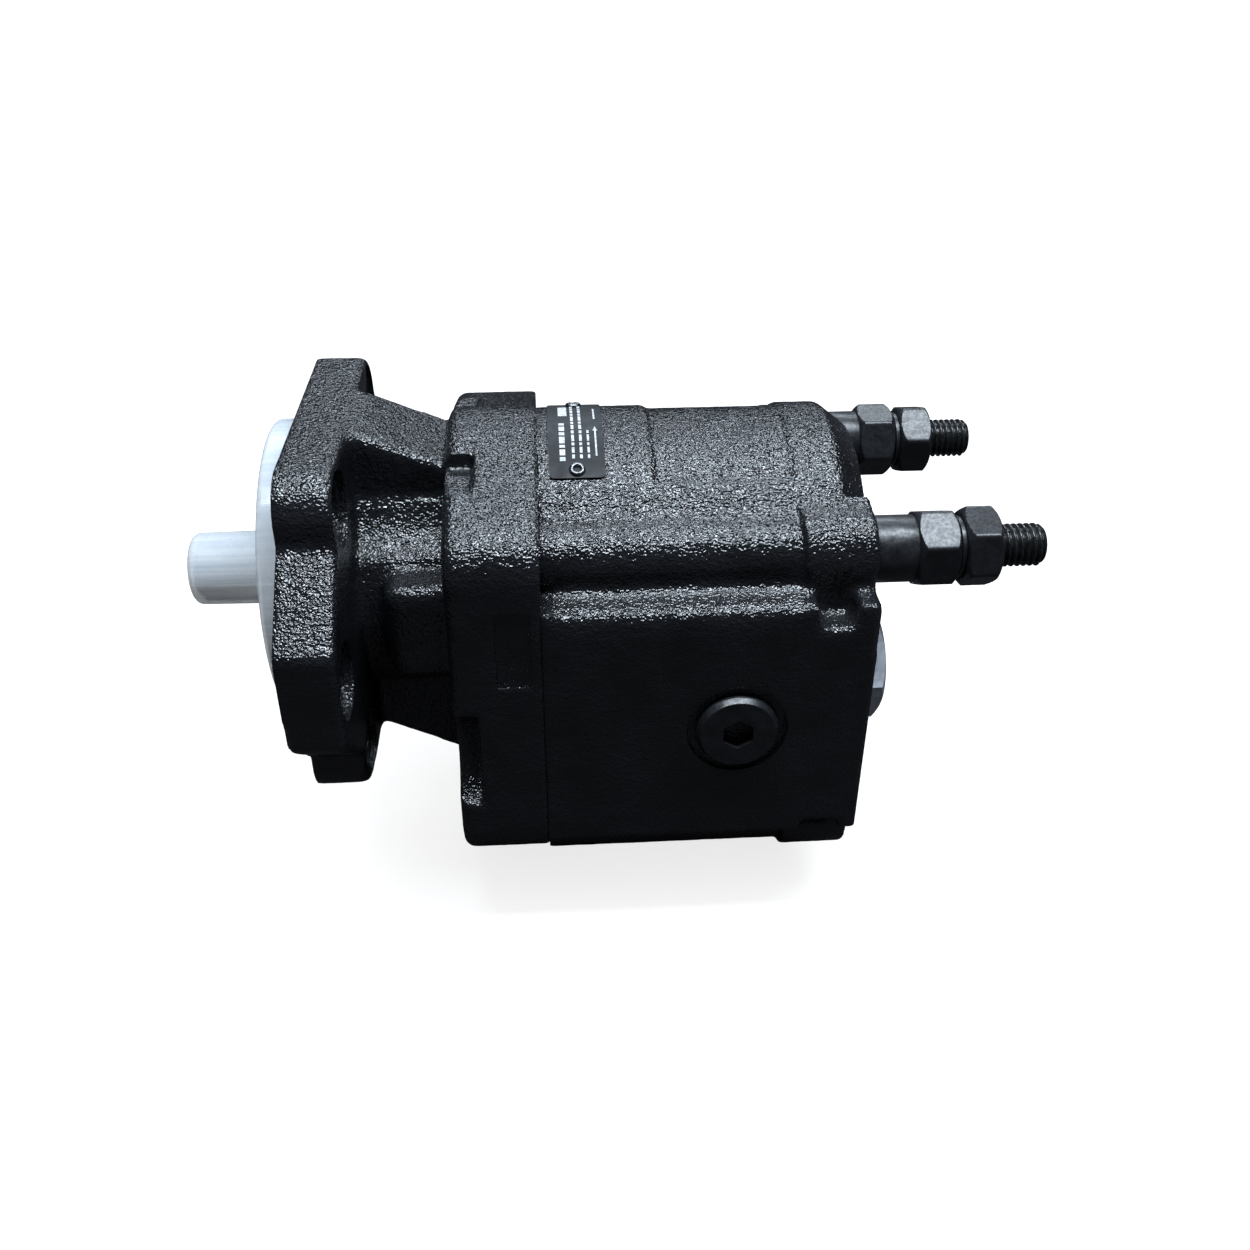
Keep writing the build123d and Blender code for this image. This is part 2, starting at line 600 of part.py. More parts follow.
def radial_pin(angle, r0, r1, radius):
    y, z = around(angle)
    place = Plane(origin=(RIVET_X, y * r0, z * r0), z_dir=(0, y, z))
    return place * extrude(Circle(radius), r1 - r0)


def rivet(angle):
    """A drive rivet: a shank in the casting and a domed head on the plate."""
    y, z = around(angle)
    dome = Plane(origin=(RIVET_X, y * (PLATE_OUT_R - 1.2), z * (PLATE_OUT_R - 1.2)), z_dir=(0, y, z))
    head = dome * Sphere(RIVET_HEAD_R + 0.4)
    keep = radial_pin(angle, PLATE_OUT_R + 0.05, PLATE_OUT_R + 4, RIVET_HEAD_R)
    return one((head & keep) + radial_pin(angle, RIVET_TIP_R, PLATE_OUT_R + 0.1, RIVET_SHANK_R))


def protective_cap():
    """A hat-shaped plastic cap: a skirt round the pilot, a disc and a tube over the shaft."""
    front = -PILOT_LEN - CAP_CLEAR - CAP_WALL
    outer = [(CAP_END_X, 0), (CAP_END_X, CAP_TUBE_R - 1.2), (CAP_END_X + 1.2, CAP_TUBE_R),
             (front, CAP_TUBE_R), (front, CAP_DISC_R - 1.0), (front + 1.0, CAP_DISC_R),
             (-CAP_CLEAR, CAP_DISC_R), (-CAP_CLEAR, 0)]
    tube_in = CAP_TUBE_R - CAP_TUBE_WALL
    step = -PILOT_LEN - CAP_CLEAR
    disc_in = CAP_DISC_R - CAP_WALL
    inner = [(CAP_END_X + 1.6, 0), (CAP_END_X + 1.6, tube_in), (step, tube_in), (step, disc_in),
             (1.0, disc_in), (1.0, 0)]
    return one(turned(outer) - turned(inner))


# ---------------------------------------------------------------- the assembly
save("front_cover", cover_bores(front_cover()))
save("pump_body", body_bores(pump_body()))
save("drive_gear_shaft", drive_gear_shaft())
save("driven_gear_shaft", driven_gear_shaft())
save("front_bearing_block", bearing_block(FRONT_BLOCK_X, True))
save("rear_bearing_block", bearing_block(REAR_BLOCK_X, False))
save("drive_bushes", bush(FRONT_BLOCK_X, 0), bush(REAR_BLOCK_X, 0))
save("driven_bushes", bush(FRONT_BLOCK_X, -CENTRES), bush(REAR_BLOCK_X, -CENTRES))
save("front_pressure_seal", pressure_seal(FRONT_BLOCK_X, FRONT_BLOCK_X + GROOVE_DEPTH))
save("front_backup_strip", backup_strip(FRONT_BLOCK_X, FRONT_BLOCK_X + GROOVE_DEPTH))
save("rear_pressure_seal", pressure_seal(REAR_FACE - GROOVE_DEPTH, REAR_FACE))
save("rear_backup_strip", backup_strip(REAR_FACE - GROOVE_DEPTH, REAR_FACE))
ring_section = stadium(RING_OUT_R - 0.1) - stadium(RING_IN_R + 0.1)
save("body_o_ring", prism(ring_section, JOINT_X, JOINT_X + RING_DEPTH))
save("inner_shaft_seal", lip_seal(INNER_SEAL_X))
save("outer_shaft_seal", lip_seal(OUTER_SEAL_X))
save("seal_retaining_clip", retaining_clip())
save("dowel_pins", *[dowel_pin(y, z) for y, z in DOWELS])
save("tie_studs", *[tie_stud(y, z) for y, z in TIES_UP])
save("sleeve_nuts", *[sleeve_nut(y, z, turn) for (y, z), turn in zip(TIES_UP, (-27.0, 8.0))])
save("lock_nuts", *[lock_nut(y, z, turn) for (y, z), turn in zip(TIES_UP, (17.0, -20.0))])
save("socket_screws", *[socket_screw(y, z) for y, z in TIES_DOWN])
save("side_port_plug", one(side_plug() - side_plug_ring()))
save("side_plug_ring", side_plug_ring())
save("outlet_adapter", outlet_adapter())
save("nameplate", nameplate())
save("nameplate_rivets", *[rivet(angle) for angle in RIVET_ANGLES])
save("protective_cap", protective_cap())
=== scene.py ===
import bmesh
import bpy
import numpy as np
from math import cos, pi, radians, sin, sqrt, tan
from mathutils import Matrix, Vector, noise


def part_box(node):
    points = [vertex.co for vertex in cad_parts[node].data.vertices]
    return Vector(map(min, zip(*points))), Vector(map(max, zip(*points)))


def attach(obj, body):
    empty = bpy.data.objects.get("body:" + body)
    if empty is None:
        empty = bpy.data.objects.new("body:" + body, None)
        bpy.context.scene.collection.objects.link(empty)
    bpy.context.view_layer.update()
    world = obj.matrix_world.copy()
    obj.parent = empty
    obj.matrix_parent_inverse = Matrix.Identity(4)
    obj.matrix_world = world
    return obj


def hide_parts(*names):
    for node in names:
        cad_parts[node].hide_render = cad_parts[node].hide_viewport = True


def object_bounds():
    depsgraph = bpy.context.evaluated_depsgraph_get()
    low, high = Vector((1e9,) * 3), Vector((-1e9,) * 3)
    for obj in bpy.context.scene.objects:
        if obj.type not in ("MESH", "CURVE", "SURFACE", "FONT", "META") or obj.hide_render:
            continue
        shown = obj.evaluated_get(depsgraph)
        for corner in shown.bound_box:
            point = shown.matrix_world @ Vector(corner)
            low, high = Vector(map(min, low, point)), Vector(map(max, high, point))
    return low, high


# A hydraulic gear pump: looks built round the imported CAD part, in metres.
# +X runs back along the drive shaft, +Z is up, and the camera stands on the -Y side.

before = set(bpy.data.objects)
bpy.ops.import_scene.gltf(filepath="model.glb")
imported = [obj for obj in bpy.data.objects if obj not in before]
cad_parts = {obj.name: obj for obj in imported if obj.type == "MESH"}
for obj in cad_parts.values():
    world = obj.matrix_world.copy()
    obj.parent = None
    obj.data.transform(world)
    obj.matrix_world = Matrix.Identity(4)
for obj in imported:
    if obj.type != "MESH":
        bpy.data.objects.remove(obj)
CAD_BOX = [list(corner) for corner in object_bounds()]
MM = 0.001

# ---- sizes read from the frame ----
REAR_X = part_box("pump_body")[1].x
STUD_END_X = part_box("tie_studs")[1].x
PLATE_LOW, PLATE_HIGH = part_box("nameplate")
FLOOR_Z = CAD_BOX[0][2] - 0.3 * MM

# ---- sizes of the threads, the nuts and the nameplate, as in the CAD model ----
TIE_R = 7.14 * MM
STUD_START_X = 55 * MM
THREAD_START_X = STUD_END_X - 22 * MM
THREAD_PITCH = 25.4 / 12 * MM
THREAD_DEPTH = 1.3 * MM
NUT_AF = 23.8 * MM
NUT_BORE_R = TIE_R + 0.02 * MM
PLATE_R = 54.75 * MM
PLATE_THICK = 0.73 * MM
PLATE_ANGLES = (57.5, 108.0)      # degrees round the drive axis, from the near side towards the top
RIVET_ANGLES = (60.8, 104.7)

# ---- sizes of the castings in millimetres, as in the CAD model ----
PILOT_R = 50.8
PILOT_X = -9.5
JOINT = 79.0                      # the face between the cover and the body
REAR = 187.0
PAD = 67.0                        # how far the far port pad is from the drive axis
DRIVEN_AXIS = (0, -60)
GEAR_BORE_R = 35.12
GEAR_BORE_END = 165.2
SEAL_POCKET_R = 23.0
SEAL_POCKET_END = 17
SHAFT_HOLE_R = 15.6
FLANGE_BOLTS = [(-73, 0), (73, 0), (-44.9, -44.9), (-44.9, 44.9), (44.9, -44.9), (44.9, 44.9)]
BOLT_HOLE_R = 7.15
SPOTFACE_R = 12.5
SPOTFACE_X = 16.1
TIES = [(y, z) for y in (-42.8, 42.8) for z in (24.1, -84.1)]
LOW_TIES = [(y, z) for y, z in TIES if z < 0]
COUNTERBORE_R = 11.1
DOWELS = [(50.0, -5.0), (-50.0, -55.0)]
PORT_Z = -30
OUTLET_Y = -28
SIDE_PORT_X = 142.8
INLET_X = 122.1
PORT_R = 17.0                     # the seat round the side port, and the inner stretch of the inlet


# ================================================================ materials
class Shader:
    """A node material with one Principled shader, and short ways to wire procedural detail to it."""

    def __init__(self, name):
        self.material = bpy.data.materials.new(name)
        self.material.use_nodes = True
        self.tree = self.material.node_tree
        self.principled = self.tree.nodes["Principled BSDF"]
        self.place = self.node("ShaderNodeTexCoord").outputs["Object"]

    def node(self, kind, **values):
        made = self.tree.nodes.new(kind)
        for key, value in values.items():
            if hasattr(made, key):
                setattr(made, key, value)
            else:
                made.inputs[key.replace("_", " ")].default_value = value
        return made

    def link(self, source, target):
        self.tree.links.new(source, target)

    def set(self, **values):
        for key, value in values.items():
            self.principled.inputs[key.replace("_", " ")].default_value = value

    def stretched(self, scale):
        mapping = self.node("ShaderNodeMapping")
        mapping.inputs["Scale"].default_value = scale
        self.link(self.place, mapping.inputs["Vector"])
        return mapping.outputs["Vector"]

    def noise(self, per_metre, detail=2.0, roughness=0.5, place=None):
        made = self.node("ShaderNodeTexNoise", Scale=per_metre, Detail=detail, Roughness=roughness)
        self.link(place or self.place, made.inputs["Vector"])
        return made.outputs["Fac"]

    def spread(self, value, low, high, from_low=0.35, from_high=0.65):
        """The value, which mostly lies between from_low and from_high, spread over low to high."""
        made = self.node("ShaderNodeMapRange")
        for socket, number in zip(("From Min", "From Max", "To Min", "To Max"),
                                  (from_low, from_high, low, high)):
            made.inputs[socket].default_value = number
        self.link(value, made.inputs["Value"])
        return made.outputs["Result"]

    def ramp(self, value, *stops):
        """Colours along a value: each stop is (position, (r, g, b))."""
        made = self.node("ShaderNodeValToRGB")
        elements = made.color_ramp.elements
        while len(elements) < len(stops):
            elements.new(0.5)
        for element, (position, colour) in zip(elements, stops):
            element.position = position
            element.color = (*colour, 1.0)
        self.link(value, made.inputs["Fac"])
        return made.outputs["Color"]

    def colour(self, value, *stops):
        self.link(self.ramp(value, *stops), self.principled.inputs["Base Color"])

    def rough(self, value, low, high, from_low=0.35, from_high=0.65):
        self.link(self.spread(value, low, high, from_low, from_high), self.principled.inputs["Roughness"])

    def bump(self, *layers):
        """Layers of (height 0..1, depth in metres), laid over each other."""
        normal = None
        for height, depth in layers:
            made = self.node("ShaderNodeBump", Strength=1.0, Distance=depth)
            self.link(height, made.inputs["Height"])
            if normal:
                self.link(normal, made.inputs["Normal"])
            normal = made.outputs["Normal"]
        self.link(normal, self.principled.inputs["Normal"])


def cast_skin():
    """Thick black paint over a sand-cast skin: a fine peel that glitters where the light catches it."""
    s = Shader("cast_skin")
    s.colour(s.noise(60, 3), (0.3, (0.007, 0.0075, 0.009)), (0.7, (0.015, 0.016, 0.019)))
    s.rough(s.noise(600, 1), 0.13, 0.23)
    s.set(Specular_IOR_Level=0.85)
    s.bump((s.noise(640, 0), 0.00034), (s.noise(1450, 0), 0.00038))
    return s.material


def black_steel():
    """Blackened, oiled steel of the fasteners: dark, glossy, with smears and small handling marks."""
    s = Shader("black_steel")
    s.colour(s.noise(220, 4), (0.35, (0.005, 0.0055, 0.008)), (0.65, (0.014, 0.015, 0.019)))
    s.rough(s.noise(900, 2, 0.5), 0.34, 0.44)
    s.set(Specular_IOR_Level=0.9)
    s.bump((s.noise(900, 1), 0.00005), (s.noise(190, 1), 0.00030))
    return s.material


def painted_reflection_steel():
    """Pale steel for the outlet adapter, a little cloudy. Its pale colour is painted reflection: it
    stands in for the bright floor mirrored in the facets.
    """
    s = Shader("painted_reflection_steel")
    # Painted reflection: the pale base colour stands in for the bright floor mirrored in the adapter's
    # facets.
    s.colour(s.noise(250, 3), (0.3, (0.50, 0.53, 0.60)), (0.7, (0.72, 0.75, 0.82)))
    s.rough(s.noise(500, 3), 0.30, 0.46)
    s.set(Metallic=0.2)
    s.bump((s.noise(1200, 2), 0.00003))
    return s.material


def thread_steel():
    """The steel of the studs: the same black, glossier in places."""
    s = Shader("thread_steel")
    s.colour(s.noise(500, 3), (0.35, (0.005, 0.0055, 0.006)), (0.65, (0.014, 0.015, 0.016)))
    s.rough(s.noise(700, 3), 0.22, 0.46)
    s.set(Specular_IOR_Level=0.9)
    s.bump((s.noise(1500, 2), 0.00006))
    return s.material


def ground_steel():
    """Ground and hardened steel of the gears, shafts and dowels."""
    s = Shader("ground_steel")
    turned = s.noise(120, 4, 0.6, s.stretched((40.0, 1.0, 1.0)))
    s.colour(turned, (0.3, (0.40, 0.40, 0.41)), (0.7, (0.62, 0.62, 0.63)))
    s.rough(turned, 0.18, 0.36)
    s.set(Metallic=1.0)
    s.bump((turned, 0.00002))
    return s.material


def spring_steel():
    s = Shader("spring_steel")
    s.colour(s.noise(400, 3), (0.3, (0.10, 0.10, 0.11)), (0.7, (0.24, 0.24, 0.25)))
    s.rough(s.noise(600, 3), 0.28, 0.46)
    s.set(Metallic=1.0)
    s.bump((s.noise(1500, 2), 0.00002))
    return s.material


def bearing_alloy():
    """Machined aluminium bearing blocks, with fine cutter lines."""
    s = Shader("bearing_alloy")
    lines = s.noise(200, 3, 0.5, s.stretched((1.0, 12.0, 1.0)))
    s.colour(lines, (0.3, (0.52, 0.53, 0.55)), (0.7, (0.70, 0.71, 0.72)))
    s.rough(lines, 0.30, 0.46)
    s.set(Metallic=1.0)
    s.bump((lines, 0.00003))
    return s.material


def bush_bronze():
    s = Shader("bush_bronze")
    s.colour(s.noise(300, 4), (0.3, (0.42, 0.27, 0.12)), (0.7, (0.62, 0.44, 0.22)))
    s.rough(s.noise(500, 3), 0.30, 0.50)
    s.set(Metallic=1.0)
    s.bump((s.noise(1200, 2), 0.00002))
    return s.material


def seal_rubber():
    s = Shader("seal_rubber")
    s.colour(s.noise(300, 3), (0.3, (0.010, 0.010, 0.010)), (0.7, (0.024, 0.024, 0.025)))
    s.rough(s.noise(500, 3), 0.50, 0.70)
    s.bump((s.noise(2000, 2), 0.00003))
    return s.material


def backup_plastic():
    s = Shader("backup_plastic")
    s.colour(s.noise(200, 3), (0.3, (0.66, 0.63, 0.55)), (0.7, (0.78, 0.75, 0.68)))
    s.rough(s.noise(400, 3), 0.40, 0.55)
    s.bump((s.noise(1500, 2), 0.00002))
    return s.material


def plate_paint():
    """Dark printed film on the nameplate, a little scuffed."""
    s = Shader("plate_paint")
    s.colour(s.noise(180, 4), (0.3, (0.018, 0.019, 0.021)), (0.7, (0.034, 0.036, 0.040)))
    s.rough(s.noise(260, 4), 0.42, 0.60)
    s.set(Specular_IOR_Level=0.25)
    s.bump((s.noise(900, 2), 0.00002), (s.noise(120, 2), 0.00006))
    return s.material


def plate_marks():
    """Pale generic print on the nameplate, thin in places."""
    s = Shader("plate_marks")
    s.colour(s.noise(900, 3), (0.35, (0.45, 0.46, 0.48)), (0.6, (0.78, 0.79, 0.81)))
    s.rough(s.noise(500, 3), 0.35, 0.50)
    s.bump((s.noise(1800, 2), 0.00001))
    return s.material


def rivet_metal():
    s = Shader("rivet_metal")
    s.colour(s.noise(700, 3), (0.3, (0.10, 0.10, 0.105)), (0.7, (0.26, 0.26, 0.27)))
    s.rough(s.noise(700, 3), 0.24, 0.42)
    s.set(Metallic=1.0)
    s.bump((s.noise(1500, 2), 0.00003))
    return s.material


def cap_plastic():
    """Thin translucent polythene: milky, a little blue, with drawn flow lines along the tube."""
    s = Shader("cap_plastic")
    flow = s.noise(420, 3, 0.5, s.stretched((0.03, 1.0, 1.0)))
    s.colour(flow, (0.3, (0.67, 0.74, 0.81)), (0.7, (0.85, 0.89, 0.93)))
    s.rough(s.noise(200, 3), 0.20, 0.34)
    s.set(Alpha=0.74, Specular_IOR_Level=0.5)
    s.bump((flow, 0.00020), (s.noise(700, 2), 0.00003))
    return s.material


# ================================================================ stage, light and camera
def floor_material():
    """A pale, evenly lit floor. What the black object mirrors is a dim version of it."""
    material = bpy.data.materials.new("pale_floor")
    material.use_nodes = True
    tree = material.node_tree
    pale = tree.nodes["Principled BSDF"]
    pale.inputs["Base Color"].default_value = (0.25, 0.25, 0.25, 1)
    pale.inputs["Roughness"].default_value = 0.9
    pale.inputs["Specular IOR Level"].default_value = 0.0
    pale.inputs["Emission Color"].default_value = (1, 1, 1, 1)
    pale.inputs["Emission Strength"].default_value = 0.80
    dim = tree.nodes.new("ShaderNodeBsdfDiffuse")
    dim.inputs["Color"].default_value = (0.02, 0.02, 0.022, 1)
    path = tree.nodes.new("ShaderNodeLightPath")
    seen = tree.nodes.new("ShaderNodeMath")
    seen.operation = "MAXIMUM"
    mix = tree.nodes.new("ShaderNodeMixShader")
    tree.links.new(path.outputs["Is Camera Ray"], seen.inputs[0])
    tree.links.new(path.outputs["Is Transmission Ray"], seen.inputs[1])
    tree.links.new(seen.outputs[0], mix.inputs[0])
    tree.links.new(dim.outputs[0], mix.inputs[1])
    tree.links.new(pale.outputs[0], mix.inputs[2])
    tree.links.new(mix.outputs[0], tree.nodes["Material Output"].inputs["Surface"])
    return material


def floor():
    half = 30.0  # metres, about a hundred times the length of the pump
    mesh = bpy.data.meshes.new("floor")
    corners = [(x, y, FLOOR_Z) for x, y in ((-half, -half), (half, -half), (half, half), (-half, half))]
    mesh.from_pydata(corners, [], [(0, 1, 2, 3)])
    mesh.materials.append(floor_material())
    made = bpy.data.objects.new("floor", mesh)
    bpy.context.collection.objects.link(made)


def soft_light(name, place, aim, size, watts, colour=(1, 1, 1)):
    data = bpy.data.lights.new(name, "AREA")
    data.shape = "RECTANGLE"
    data.size, data.size_y = size
    data.energy = watts
    data.color = colour
    made = bpy.data.objects.new(name, data)
    made.location = place
    made.rotation_euler = (Vector(aim) - Vector(place)).to_track_quat("-Z", "Y").to_euler()
    bpy.context.collection.objects.link(made)
    return made


def shine_only_on(light, name):
    only = bpy.data.collections.new(light.name + "_only")
    only.objects.link(bpy.data.objects[name])
    light.light_linking.receiver_collection = only


def floor_light():
    """Even light that falls on the floor alone, so that the floor stays pale to its far edge."""
    data = bpy.data.lights.new("floor_light", "SUN")
    data.energy = 3.6
    data.angle = radians(100)
    made = bpy.data.objects.new("floor_light", data)
    bpy.context.collection.objects.link(made)
    shine_only_on(made, "floor")


def room():
    """Faint light from all round, in a room that looks as pale as the floor."""
    world = bpy.data.worlds.new("room")
    world.use_nodes = True
    tree = world.node_tree
    faint = tree.nodes["Background"]
    faint.inputs["Color"].default_value = (0.86, 0.92, 1.0, 1)
    faint.inputs["Strength"].default_value = 0.03
    pale = tree.nodes.new("ShaderNodeBackground")
    pale.inputs["Color"].default_value = (1, 1, 1, 1)
    path = tree.nodes.new("ShaderNodeLightPath")
    mix = tree.nodes.new("ShaderNodeMixShader")
    tree.links.new(path.outputs["Is Camera Ray"], mix.inputs[0])
    tree.links.new(faint.outputs[0], mix.inputs[1])
    tree.links.new(pale.outputs[0], mix.inputs[2])
    tree.links.new(mix.outputs[0], tree.nodes["World Output"].inputs["Surface"])
    bpy.context.scene.world = world


def lights():
    """Long soft lights above and behind, and a small one each for the cap and the outlet adapter."""
    cool, warm = (0.80, 0.90, 1.0), (1.0, 0.97, 0.92)
    soft_light("overhead", (0.30, -0.16, 1.2), (0.30, -0.10, 0.0), (1.5, 0.24), 27, cool)
    soft_light("back", (0.20, 0.95, 0.85), (0.20, 0.0, 0.0), (1.3, 0.22), 8, cool)
    cap_fill = soft_light("cap_fill", (-0.60, -0.50, 0.0), (-0.03, 0.0, 0.0), (0.6, 0.6), 2.0, warm)
    shine_only_on(cap_fill, "protective_cap_moulded")
    adapter_place, adapter_aim = (0.45, -0.70, 1.20), (0.19, -0.03, -0.03)
    adapter_fill = soft_light("adapter_fill", adapter_place, adapter_aim, (0.3, 0.3), 9.0, cool)
    shine_only_on(adapter_fill, "outlet_adapter")
    floor_light()
    room()
    bpy.context.scene.view_settings.view_transform = "Standard"


def camera():
    """The camera's place and direction, in the frame of the part."""
    place = Vector((82.24, -393.23, 223.20)) * MM
    yaw, pitch, roll = radians(4.01), radians(32.70), radians(0.27)
    ahead = Vector((sin(yaw) * cos(pitch), cos(yaw) * cos(pitch), -sin(pitch)))
    level = Vector((cos(yaw), -sin(yaw), 0))
    above = level.cross(ahead)
    right = cos(roll) * level + sin(roll) * above
    up = cos(roll) * above - sin(roll) * level
    turn = Matrix((right, up, -ahead)).transposed()
    data = bpy.data.cameras.new("camera")
    data.sensor_width = 36
    data.lens = 35.80
    data.clip_start = 0.01
    made = bpy.data.objects.new("camera", data)
    made.matrix_world = Matrix.Translation(place) @ turn.to_4x4()
    bpy.context.collection.objects.link(made)
    bpy.context.scene.camera = made


# ================================================================ mesh helpers
def piece(name, verts, faces, materials, body, slot_name, smooth_angle=35):
    """A new piece from mesh data, riding on a CAD body."""
    mesh = bpy.data.meshes.new(name)
    mesh.from_pydata([tuple(v) for v in verts], [], faces)
    return finish_piece(name, mesh, materials, body, smooth_angle)


def finish_piece(name, mesh, materials, body, smooth_angle=35):
    mesh.validate()
    mesh.materials.clear()
    for material in materials:
        mesh.materials.append(material)
    mesh.shade_smooth()
    mesh.set_sharp_from_angle(angle=radians(smooth_angle))
    made = bpy.data.objects.new(name, mesh)
    bpy.context.collection.objects.link(made)
    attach(made, body)
    return made


def cylinder(x0, x1, radius, y=0.0, z=0.0, segments=64):
    """A closed round bar along X, as vertices and faces."""
    verts = []
    for x in (x0, x1):
        for i in range(segments):
            turn = 2 * pi * i / segments
            verts.append((x, y + radius * cos(turn), z + radius * sin(turn)))
    faces = [tuple(reversed(range(segments))), tuple(range(segments, 2 * segments))]
    for i in range(segments):
        j = (i + 1) % segments
        faces.append((i, j, segments + j, segments + i))
    return verts, faces


def lathe(profile, segments, radius_at=None):
    """A shell turned about X from (x, radius) points. radius_at(x, r, turn) may reshape it."""
    rings, faces, verts = [], [], []
    for x, r in profile:
        if r == 0:
            rings.append([len(verts)])
            verts.append((x, 0.0, 0.0))
            continue
        ring = []
        for i in range(segments):
            turn = 2 * pi * i / segments
            reach = radius_at(x, r, turn) if radius_at else r
            ring.append(len(verts))
            verts.append((x, reach * cos(turn), reach * sin(turn)))
        rings.append(ring)
    for a, b in zip(rings, rings[1:]):
        for i in range(segments):
            j = (i + 1) % segments
            corners = [a[i % len(a)], a[j % len(a)], b[j % len(b)], b[i % len(b)]]
            faces.append(tuple(dict.fromkeys(corners)))
    return verts, faces


def moved(verts, y, z):
    return [(v[0], v[1] + y, v[2] + z) for v in verts]


def joined(*shapes):
    """Several (vertices, faces) shapes as one."""
    verts, faces = [], []
    for more_verts, more_faces in shapes:
        start = len(verts)
        verts += list(more_verts)
        faces += [tuple(start + i for i in face) for face in more_faces]
    return verts, faces


# ================================================================ castings
VOXEL = 0.8 * MM
PROUD = 0.6 * MM
FAR = 160                 # millimetres, past the castings on every side
ALL_Y, ALL_Z = (-FAR, FAR), (-200, FAR)


def bar(x0, x1, radius, y=0.0, z=0.0, segments=64):
    """A closed round bar along X, in millimetres."""
    return cylinder(x0 * MM, x1 * MM, radius * MM, y * MM, z * MM, segments)


def cross_bar(y0, y1, radius, x, z, segments=64):
    """A closed round bar along Y, in millimetres."""
    verts, faces = bar(y0, y1, radius, 0, 0, segments)
    return [(v[2] + x * MM, v[0], v[1] + z * MM) for v in verts], faces


def slab(x, y, z):
    """A closed box from its lowest and highest coordinates, in millimetres."""
    verts = [(x[i] * MM, y[j] * MM, z[k] * MM) for i in (0, 1) for j in (0, 1) for k in (0, 1)]
    faces = [(0, 1, 3, 2), (4, 6, 7, 5), (0, 4, 5, 1), (2, 3, 7, 6), (0, 2, 6, 4), (1, 5, 7, 3)]
    return verts, faces


def stepped(y, z, *profile):
    """A closed turned shape about a line along X, from (x, radius) points in millimetres."""
    verts, faces = lathe([(x * MM, r * MM) for x, r in profile], 64)
    return moved(verts, y * MM, z * MM), faces


def cad_shape(node):
    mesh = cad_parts[node].data
    return [v.co.copy() for v in mesh.vertices], [tuple(p.vertices) for p in mesh.polygons]


def loose_object(name, mesh):
    made = bpy.data.objects.new(name, mesh)
    bpy.context.collection.objects.link(made)
    return made


def applied(made):
    """The object's mesh with its modifiers applied. The object itself is removed."""
    graph = bpy.context.evaluated_depsgraph_get()
    mesh = bpy.data.meshes.new_from_object(made.evaluated_get(graph))
    bpy.data.objects.remove(made)
    return mesh


def voxel_union(shape):
    """One even skin round overlapping closed shapes."""
    mesh = bpy.data.meshes.new("union")
    mesh.from_pydata([tuple(v) for v in shape[0]], [], shape[1])
    made = loose_object("union", mesh)
    modifier = made.modifiers.new("voxels", "REMESH")
    modifier.mode = "VOXEL"
    modifier.voxel_size = VOXEL
    return applied(made)


def coordinates(mesh):
    co = np.empty(len(mesh.vertices) * 3)
    mesh.vertices.foreach_get("co", co)
    return co.reshape(-1, 3)


def normals(mesh):
    made = np.empty(len(mesh.vertices) * 3)
    mesh.vertices.foreach_get("normal", made)
    return made.reshape(-1, 3)


def store(mesh, co):
    mesh.vertices.foreach_set("co", co.ravel())
    mesh.update()


def smooth(mesh, rounds, inside=None):
    """Rounds the edges of the casting, as the pattern and the sand do: all of them, or those in a box."""
    edges = np.empty(len(mesh.edges) * 2, int)
    mesh.edges.foreach_get("vertices", edges)
    a, b = edges.reshape(-1, 2).T
    co = coordinates(mesh)
    size = len(co)
    neighbours = np.bincount(a, minlength=size) + np.bincount(b, minlength=size)
    pull = np.full((size, 1), 0.5)
    if inside:
        low, high = np.array(inside).T * MM
        depth = np.minimum(co - low, high - co).min(axis=1)
        pull = np.clip(depth / (2 * MM), 0, 0.5)[:, None]
    for step in range(rounds):
        total = np.empty_like(co)
        for axis in range(3):
            total[:, axis] = (np.bincount(a, co[b, axis], size) + np.bincount(b, co[a, axis], size))
        co += pull * (total / neighbours[:, None] - co)
    store(mesh, co)


def roughen(mesh, *layers):
    """Moves the skin in and out by layers of noise, each (size, depth) in metres, inside the CAD box."""
    co, out = coordinates(mesh), normals(mesh)
    height = np.zeros(len(co))
    for size, depth in layers:
        height += depth * np.array([noise.noise(Vector(p) / size) for p in co])
    co += out * height[:, None]
    store(mesh, np.clip(co, *CAD_BOX))


def stand_proud(mesh, planes, pilot=False):
    """Lifts the faces that are to be machined, so that the cut meets solid metal all over."""
    co, out = coordinates(mesh), normals(mesh)
    for axis, value, sign in planes:
        near = sign * (co[:, axis] - value * MM) > -0.4 * MM
        facing = sign * out[:, axis] > 0.6
        co[near & facing, axis] += sign * PROUD
    if pilot:
        reach = np.hypot(co[:, 1], co[:, 2])
        rim = (co[:, 0] < -0.3 * MM) & (np.abs(reach - PILOT_R * MM) < 0.6 * MM)
        co[rim, 1:] *= (1 + PROUD / (PILOT_R * MM))
    store(mesh, co)


def cut(mesh, *shapes):
    """Cuts closed shapes out of the mesh, one after another."""
    for verts, faces in shapes:
        tool = bpy.data.meshes.new("tool")
        tool.from_pydata([tuple(v) for v in verts], [], faces)
        work = bmesh.new()
        work.from_mesh(tool)
        bmesh.ops.recalc_face_normals(work, faces=work.faces)
        work.to_mesh(tool)
        work.free()
        made = loose_object("work", mesh)
        cutter = loose_object("cutter", tool)
        modifier = made.modifiers.new("cut", "BOOLEAN")
        modifier.operation = "DIFFERENCE"
        modifier.solver = "MANIFOLD"
        modifier.object = cutter
        mesh = applied(made)
        bpy.data.objects.remove(cutter)
    return mesh


